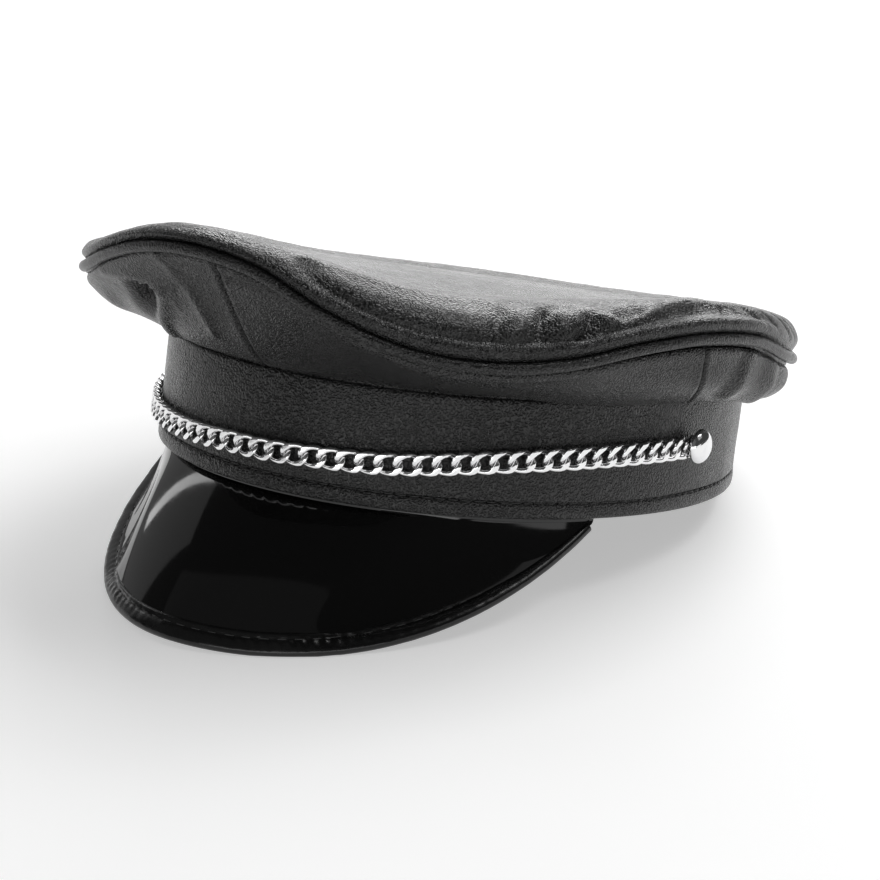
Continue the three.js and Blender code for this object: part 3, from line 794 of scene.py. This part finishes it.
def patent(name):
    """Glossy black patent leather: a clear coat over a sheet that isn't quite flat."""
    f = Finish(name)
    wave = f.noise(16.0, 1.0).outputs["Fac"]
    peel = f.noise(240.0, 2.0).outputs["Fac"]
    f.set(
        Base_Color=f.ramp(wave, (0.3, 0.0018), (0.7, 0.003)),
        Roughness=f.ramp(peel, (0.3, 0.05), (0.8, 0.09)),
        Normal=f.bump(peel, 0.000006, 0.5, f.bump(wave, 0.0012, 0.25)),
    )
    f.shader.inputs["IOR"].default_value = 1.52
    return f.material


def bound_edge(name):
    """The same glossy leather as a soft folded strip, with fine creases."""
    f = Finish(name)
    crease = f.noise(330.0, 3.0).outputs["Fac"]
    lump = f.noise(90.0, 2.0).outputs["Fac"]
    f.set(
        Base_Color=f.ramp(lump, (0.3, 0.0025), (0.7, 0.005)),
        Roughness=f.ramp(crease, (0.3, 0.16), (0.75, 0.3)),
        Normal=f.bump(crease, 0.00012, 0.7, f.bump(lump, 0.0005, 0.5)),
    )
    f.shader.inputs["IOR"].default_value = 1.5
    return f.material


def thread(name):
    """Waxed black sewing thread with its twist."""
    f = Finish(name)
    twist = f.noise(2600.0, 2.0).outputs["Fac"]
    f.set(
        Base_Color=f.ramp(twist, (0.3, 0.012), (0.8, 0.035)),
        Roughness=0.42,
        Normal=f.bump(twist, 0.00012, 0.9),
    )
    return f.material


def polished_metal(name):
    """Bright plated metal with faint polishing marks."""
    f = Finish(name)
    marks = f.noise(1800.0, 3.0).outputs["Fac"]
    cloud = f.noise(220.0, 2.0).outputs["Fac"]
    f.set(
        Base_Color=f.ramp(cloud, (0.3, (0.80, 0.80, 0.81)), (0.7, (0.90, 0.90, 0.90))),
        Metallic=1.0,
        Roughness=f.ramp(marks, (0.3, 0.07), (0.75, 0.15)),
        Normal=f.bump(cloud, 0.00006, 0.4),
    )
    return f.material


def pale_floor(name):
    """A pale table, softly lit from below."""
    f = Finish(name)
    cloud = f.noise(3.0, 2.0).outputs["Fac"]
    f.set(Base_Color=f.ramp(cloud, (0.3, 0.76), (0.7, 0.78)), Roughness=0.7)
    f.set(Emission_Color=(1, 1, 1, 1), Emission_Strength=0.45)
    return f.material


GRAINED = leather("grained_leather")
CORDED = leather("piping_leather", shine=0.25, dull=0.34)
TRIM = bound_edge("glossy_edge_leather")
FLESH = suede("leather_flesh_side")
PATENT = patent("patent_leather")
THREAD = thread("sewing_thread")
METAL = polished_metal("polished_plate")


# The leather crown


def make_top_panel():
    panel = formed_sheet("top_panel", top_panel_grid(), join=True)
    thicken(panel, LEATHER)
    smooth_shade(panel)
    return settle(panel, (GRAINED, FLESH), "grained_leather", "crown_top")


def make_quarter(name, node, start, end):
    panel = formed_sheet(name, quarter_grid(start, end))
    thicken(panel, LEATHER)
    smooth_shade(panel)
    return settle(panel, (GRAINED, FLESH), "grained_leather", node)


def make_piping():
    """A torus laid along the rim, its cover a little uneven."""
    cord = plain_torus(640, 16)
    cord.name = "rim_piping"
    flat = placed_points(cord)
    angle = np.degrees(np.arctan2(flat[:, 0], -flat[:, 1]))
    turn = np.degrees(np.arctan2(flat[:, 2], np.hypot(flat[:, 0], flat[:, 1]) - TORUS))
    base = piping_point(angle, turn)
    radius = PIPING["radius"] * (1 + lumps(base, "cord") + lumps(base, "cord_long"))
    middle = piping_point(angle, turn, 0.0)
    move_points(cord, middle + unit(base - middle) * radius[:, None])
    smooth_shade(cord)
    return settle(cord, (CORDED,), "grained_leather", "piping")


# The band and its hem stitches

BAND_COLUMNS = 1080
BAND_SECTION = [
    (-1.2, 36.0), (-0.5, 35.9), (-0.1, 35.5), (0.0, 34.8), (0.1, 30.0), (0.15, 24.0),
    (0.15, 18.0), (0.12, 12.0), (0.12, 8.0), (0.12, 6.2), (0.08, 5.6), (-0.05, 5.35),
    (-0.26, 5.15), (-0.34, 5.0), (-0.26, 4.85), (0.0, 4.65), (0.18, 4.4), (0.28, 3.9),
    (0.36, 3.0), (0.4, 2.1), (0.34, 1.2), (0.14, 0.55), (-0.25, 0.16), (-0.8, 0.0),
    (-1.4, 0.0), (-2.0, 0.12), (-2.3, 0.5), (-2.4, 1.2), (-2.4, 12.0), (-2.4, 24.0),
    (-2.4, 35.2), (-2.2, 35.8), (-1.7, 36.0), (-1.2, 36.0),
]


def make_band():
    """The wall and its hem, drawn in at each stitch and a little puffed between them."""
    angle = -np.linspace(-180, 180, BAND_COLUMNS + 1)
    travelled, total = band_turn_length(angle)
    count = round(total / HEM["pitch"])
    phase = travelled / total * count
    hole = np.abs(np.sin(np.pi * phase)) ** 0.5
    rows = []
    for out, up in BAND_SECTION:
        drawn = ridge(up, *STITCH_GROOVE) * (1 - hole) if out > -1 else 0.0
        puff = ridge(up, *HEM_PUFF) * np.cos(2 * np.pi * phase) if out > 0 else 0.0
        rows.append(on_band(angle, out + drawn - puff, up))
    grid = np.stack(rows)
    outer = np.array([out > -1 and 0.5 < up < 35.6 for out, up in BAND_SECTION])[:, None]
    soft = lumps(grid, "band") + lumps(grid, "band_fine")
    grid = grid + band_way(angle)[None] * (soft * outer)[..., None]
    band = formed_sheet("cap_band", grid[::-1, ::-1], join=True)
    smooth_shade(band, 60)
    return settle(band, (GRAINED,), "grained_leather", "band")


def stitch_shape(run, thick):
    """One stitch along X: a short bar of thread whose ends dip into the leather."""
    clear_selection()
    along_x = (0, math.pi / 2, 0)
    bpy.ops.mesh.primitive_uv_sphere_add(segments=8, ring_count=7, radius=0.5, rotation=along_x)
    stitch = bpy.context.object
    bpy.ops.object.transform_apply(location=True, rotation=True, scale=True)
    bpy.ops.object.mode_set(mode="EDIT")
    bpy.ops.mesh.select_all(action="SELECT")
    bpy.ops.transform.resize(value=(run, thick, thick))
    bpy.ops.object.mode_set(mode="OBJECT")
    for vertex in stitch.data.vertices:
        share = 2 * vertex.co.x / run
        vertex.co.z -= STITCH["dip"] * thick * share**4
        vertex.co.y *= 1 + STITCH["plump"] * min(1, abs(share)) ** 3
    return stitch


def row_of(shape, name, places):
    """Copies a shape to each place, each copy with its own mesh, and joins the row."""
    copies = []
    for place in places:
        copy = shape.copy()
        copy.data = shape.data.copy()
        copy.data.transform(place)
        bpy.context.collection.objects.link(copy)
        copies.append(copy)
    bpy.data.objects.remove(shape)
    clear_selection()
    for copy in copies:
        copy.select_set(True)
    bpy.context.view_layer.objects.active = copies[0]
    bpy.ops.object.join()
    row = bpy.context.object
    row.name = name
    return row


def basis(along, up, at):
    """The place of a shape whose X runs along and whose Z points up."""
    x = Vector(along).normalized()
    z = Vector(up)
    z = (z - x * z.dot(x)).normalized()
    y = z.cross(x)
    return Matrix.Translation(Vector(at)) @ Matrix((x, y, z)).transposed().to_4x4()


def make_hem_stitches():
    fine = np.linspace(-180, 180, 2881)
    travelled, total = band_turn_length(fine[:-1])
    count = round(total / HEM["pitch"])
    places = []
    for i in range(count):
        angle = np.interp((i + 0.5) / count * total, travelled, fine[:-1])
        at = on_band(angle, HEM["lies"], HEM["height"])
        along = on_band(angle + 0.2) - on_band(angle - 0.2)
        places.append(basis(along, band_way(angle), at))
    stitch = stitch_shape(HEM["pitch"] * HEM["stitch"], HEM["thread"])
    row = row_of(stitch, "hem_stitches", places)
    smooth_shade(row)
    return settle(row, (THREAD,), "grained_leather")


# The peak with its binding and stitches

PEAK_COLUMNS = 200
PEAK_ROWS = 60
PEAK_TUCK_ROWS = 8


def make_peak():
    share = np.linspace(-PEAK["covered"], PEAK["covered"], PEAK_COLUMNS + 1)
    rows = [on_peak(share, np.full_like(share, v)) for v in np.linspace(0, 1, PEAK_ROWS + 1)]
    for height in np.linspace(PEAK_TOP, PEAK["tuck"], PEAK_TUCK_ROWS + 1)[1:]:
        rows.append(on_peak_root(share, height))
    sheet = formed_sheet("cap_peak", np.stack(rows))
    thicken(sheet, PEAK["sheet"])
    smooth_shade(sheet, 50)
    return settle(sheet, (PATENT, FLESH), "patent_leather", "peak")


BINDING_COLUMNS = 620
BINDING_SECTION = [
    (6.0, -0.82), (5.9, -1.2), (5.5, -1.5), (4.2, -1.55), (2.5, -1.62), (1.0, -1.66),
    (0.0, -1.62), (-0.6, -1.3), (-1.0, -0.7), (-1.15, 0.0), (-1.0, 0.7), (-0.6, 1.3),
    (0.0, 1.62), (0.9, 1.74), (1.9, 1.72), (2.8, 1.62), (3.3, 1.52), (3.65, 1.4),
    (4.0, 1.33), (4.3, 1.38), (4.7, 1.46), (5.2, 1.46), (5.7, 1.36), (5.95, 1.1), (6.0, 0.82),
]


def edge_frames(count):
    """Points of the peak's edge with the ways along it, in over the sheet and up out of it."""
    share = np.linspace(-PEAK["covered"], PEAK["covered"], count + 1)
    edge = on_peak(share, np.zeros_like(share))
    along = unit(np.gradient(edge, axis=0))
    inward = unit(on_peak(share, np.full_like(share, 0.1)) - edge)
    inward = unit(inward - along * np.sum(inward * along, axis=-1, keepdims=True))
    up = np.cross(inward, along)
    up = up * np.where(up[:, 2:] < 0, -1, 1)
    return edge, along, inward, up


def make_binding():
    """A strip folded over the peak's edge, puckered along the seam where the edge turns sharply."""
    edge, _, inward, up = edge_frames(BINDING_COLUMNS)
    steps = length(np.diff(edge, axis=0))[:, 0]
    travelled = np.concatenate([[0], np.cumsum(steps)])
    share = np.linspace(-1, 1, BINDING_COLUMNS + 1)
    out = np.abs(share)
    turning = falling(out, *TURNING_FADE["end"]) * rising(out, *TURNING_FADE["start"])
    pucker = np.cos(2 * np.pi * travelled / BINDING["pucker"]) * turning
    rows = []
    for inn, rise in BINDING_SECTION:
        gathered = ridge(inn, *BINDING_PUCKER) if rise > 0 else 0.0
        rows.append(edge + inward * inn + up * (rise + gathered * pucker)[:, None])
    grid = np.stack(rows)
    uneven = lumps(grid, "binding") + lumps(grid, "binding_fine")
    side = np.sign([rise for _, rise in BINDING_SECTION])[:, None, None]
    grid = grid + up[None] * uneven[..., None] * side
    grid = np.concatenate([grid, grid[:1]])[::-1]
    strip = formed_sheet("peak_edge_binding", grid, join=True)
    only(strip)
    bpy.ops.object.mode_set(mode="EDIT")
    bpy.ops.mesh.select_all(action="DESELECT")
    bpy.ops.mesh.select_non_manifold(extend=False)
    bpy.ops.mesh.fill()
    bpy.ops.mesh.select_all(action="SELECT")
    bpy.ops.mesh.normals_make_consistent(inside=False)
    bpy.ops.object.mode_set(mode="OBJECT")
    smooth_shade(strip, 50)
    return settle(strip, (TRIM,), "patent_leather", "peak_binding")


def make_binding_stitches():
    edge, along, inward, up = edge_frames(BINDING_COLUMNS)
    steps = length(np.diff(edge, axis=0))[:, 0]
    travelled = np.concatenate([[0], np.cumsum(steps)])
    places = []
    count = int(travelled[-1] / BINDING["pitch"])
    for i in range(1, count - 1):
        k = int(np.searchsorted(travelled, (i + 0.5) * BINDING["pitch"]))
        at = edge[k] + inward[k] * BINDING["seam"] + up[k] * BINDING["lies"]
        places.append(basis(along[k], up[k], at))
    stitch = stitch_shape(BINDING["pitch"] * BINDING["stitch"], BINDING["thread"])
    row = row_of(stitch, "binding_stitches", places)
    smooth_shade(row)
    return settle(row, (THREAD,), "patent_leather")


# The curb chain and its studs


def chain_point(angle, out=0.0):
    return on_band(angle, CHAIN["stand_off"] + out, by_side(CHAIN_LINE, angle))


def make_link(pitch):
    """One curb link along X: a ring of wire drawn oval, twisted to lie flat, its faces polished."""
    half_length = (pitch + CHAIN["wire"]) / 2 + CHAIN["overlap"]
    half_width = (CHAIN["width"] - CHAIN["wire"]) / 2
    link = plain_torus(36, 14)
    for vertex in link.data.vertices:
        turn = math.atan2(vertex.co.y, vertex.co.x)
        ring = math.atan2(vertex.co.z, math.hypot(vertex.co.x, vertex.co.y) - TORUS)
        middle = Vector((half_length * math.cos(turn), half_width * math.sin(turn), 0))
        along = Vector((-half_length * math.sin(turn), half_width * math.cos(turn), 0))
        along.z = -2 * CHAIN["twist"] * math.cos(2 * turn)
        middle.z = -CHAIN["twist"] * math.sin(2 * turn)
        along.normalize()
        outward = Vector((middle.x, middle.y, 0))
        outward = (outward - along * outward.dot(along)).normalized()
        across = outward.cross(along)
        radius = CHAIN["wire"] / 2
        vertex.co = middle + radius * (outward * math.cos(ring) + across * -math.sin(ring))
        facet = CHAIN["twist"] + radius * CHAIN["polished"]
        vertex.co.z = max(-facet, min(facet, vertex.co.z))
    only(link)
    bpy.ops.object.mode_set(mode="EDIT")
    bpy.ops.mesh.select_all(action="SELECT")
    bpy.ops.mesh.normals_make_consistent(inside=False)
    bpy.ops.object.mode_set(mode="OBJECT")
    return link


def make_chain():
    fine = np.linspace(-STUD["angle"], STUD["angle"], 6001)
    path = chain_point(fine)
    travelled = np.concatenate([[0], np.cumsum(length(np.diff(path, axis=0))[:, 0])])
    end_gap = CHAIN["pitch"] / 2 - STUD["post"] - CHAIN["end_play"]
    run = travelled[-1] - 2 * end_gap
    count = round(run / CHAIN["pitch"]) + 1
    pitch = run / (count - 1)
    places = []
    for n in range(count):
        k = int(np.clip(np.searchsorted(travelled, end_gap + n * pitch), 1, len(fine) - 2))
        places.append(basis(path[k + 1] - path[k - 1], band_way(fine[k]), path[k]))
    row = row_of(make_link(pitch), "curb_chain", places)
    smooth_shade(row, 40)
    return settle(row, (METAL,), "polished_metal", "chain")


STUD_SECTION = [(4.6, 0.0), (5.1, 0.08), (5.4, 0.25), (5.45, 0.5)]
STUD_RINGS = 12
STUD_SIDES = 56
STUD_TIP = 0.01


def make_stud(name, node, side):
    """A turned head, drawn up ring by ring from a circle, on its post with a washer behind the band."""
    front = -BAND["wall"] - WASHER["gap"]
    back = front - WASHER["thick"]
    section = [(STUD_TIP, back), (WASHER["radius"] - WASHER["chamfer"], back)]
    section += [(WASHER["radius"], back + WASHER["chamfer"]), (WASHER["radius"], front)]
    section += [(STUD["post"], front), (STUD["post"], STUD["seat"])]
    section += [(radius, STUD["seat"] + rise) for radius, rise in STUD_SECTION]
    for step in range(1, STUD_RINGS + 1):
        turn = math.pi / 2 * step / STUD_RINGS
        level = STUD["seat"] + STUD_SECTION[-1][1] + STUD["dome"] * math.sin(turn)
        section.append((max(STUD_TIP, STUD["radius"] * math.cos(turn)), level))
    clear_selection()
    first, level = section[0]
    bpy.ops.mesh.primitive_circle_add(vertices=STUD_SIDES, radius=first, location=(0, 0, level))
    head = bpy.context.object
    head.name = name
    bpy.ops.object.transform_apply(location=True, rotation=True, scale=True)
    bpy.ops.object.mode_set(mode="EDIT")
    bpy.ops.mesh.select_all(action="SELECT")
    for (r0, h0), (r1, h1) in zip(section, section[1:]):
        bpy.ops.mesh.extrude_edges_move(TRANSFORM_OT_translate={"value": (0, 0, h1 - h0)})
        bpy.ops.transform.resize(value=(r1 / r0, r1 / r0, 1), center_override=(0, 0, h1))
    bpy.ops.mesh.select_all(action="SELECT")
    bpy.ops.mesh.remove_doubles(threshold=0.004)
    bpy.ops.mesh.normals_make_consistent(inside=False)
    bpy.ops.object.mode_set(mode="OBJECT")
    angle = side * STUD["angle"]
    height = float(by_side(CHAIN_LINE, angle)) + STUD["lift"]
    head.data.transform(basis((0, 0, 1), band_way(angle), on_band(angle, 0.0, height)))
    smooth_shade(head, 40)
    return settle(head, (METAL,), "polished_metal", node)


make_top_panel()
for quarter in QUARTERS:
    make_quarter(*quarter)
make_piping()
make_band()
make_hem_stitches()
make_peak()
make_binding()
make_binding_stitches()
make_chain()
make_stud("left_stud", "stud_left", 1)
make_stud("right_stud", "stud_right", -1)


# The floor, the studio's light and the camera


def make_floor():
    clear_selection()
    bpy.ops.mesh.primitive_plane_add(size=12)
    floor = bpy.context.object
    floor.name = "floor"
    floor.data.materials.append(pale_floor("pale_floor"))


CAP_MIDDLE = Vector((0, 0, 0.06))

# Each softbox: its azimuth and elevation in degrees as the cap's own angles, how far away it is, its
# size in metres, its radiance and how far it is turned
SOFTBOXES = [
    ("back_softbox", -172, 43, 2.6, (1.9, 1.2), 2.7, 0),
    ("top_softbox", 152, 62, 2.6, (2.4, 1.3), 3.6, 0),
    ("back_low_softbox", -150, 13, 2.6, (1.3, 0.8), 4.6, 0),
    ("left_softbox", 104, 46, 2.4, (1.2, 1.5), 0.3, 0),
    ("left_low_panel", 84, 2.6, 2.0, (1.3, 0.2), 1.0, 0),
    ("streak_strip", -97, 25, 2.4, (0.11, 1.6), 2.8, -7),
    ("right_dim_panel", -107, 20, 3.1, (2.8, 2.2), 0.25, 0),
    ("front_low_panel", 28, 3, 2.6, (3.4, 0.5), 2.4, 0),
    ("front_dim_panel", -8, 28, 2.6, (6.2, 2.9), 0.06, 0),
]


def soft_light(name, azimuth, elevation, away, size, glow, turn):
    """A softbox that faces the cap."""
    a, e = math.radians(azimuth), math.radians(elevation)
    way = Vector((math.sin(a) * math.cos(e), -math.cos(a) * math.cos(e), math.sin(e)))
    lamp = bpy.data.lights.new(name, "AREA")
    lamp.shape = "RECTANGLE"
    lamp.size, lamp.size_y = size
    lamp.energy = glow * math.pi * size[0] * size[1]
    box = bpy.data.objects.new(name, lamp)
    bpy.context.collection.objects.link(box)
    box.location = CAP_MIDDLE + way * away
    facing = way.to_track_quat("Z", "Y").to_matrix()
    box.rotation_euler = (facing @ Matrix.Rotation(math.radians(turn), 3, "Z")).to_euler()


def make_studio():
    world = bpy.data.worlds.new("studio")
    bpy.context.scene.world = world
    world.use_nodes = True
    background = world.node_tree.nodes["Background"]
    background.inputs["Color"].default_value = (1, 1, 1, 1)
    background.inputs["Strength"].default_value = 0.05
    for softbox in SOFTBOXES:
        soft_light(*softbox)
    bpy.context.scene.view_settings.view_transform = "Standard"


VIEW = {"turn": 37, "rise": 19.951, "away": 1.1, "left": 0.00311, "up": 0.00406, "lens": 139.8}


def make_camera():
    """The photograph's view, round from the front and above the level."""
    turn, rise = math.radians(VIEW["turn"]), math.radians(VIEW["rise"])
    right = Vector((math.cos(turn), math.sin(turn), 0))
    back = Vector((math.sin(turn) * math.cos(rise), -math.cos(turn) * math.cos(rise), math.sin(rise)))
    up = back.cross(right)
    camera = bpy.data.objects.new("camera", bpy.data.cameras.new("camera"))
    bpy.context.collection.objects.link(camera)
    camera.location = BAND_CENTRE * MM + back * VIEW["away"] - right * VIEW["left"] + up * VIEW["up"]
    camera.rotation_euler = Matrix((right, up, back)).transposed().to_euler()
    camera.data.sensor_width = 36
    camera.data.lens = VIEW["lens"]
    bpy.context.scene.camera = camera


make_floor()
make_studio()
make_camera()
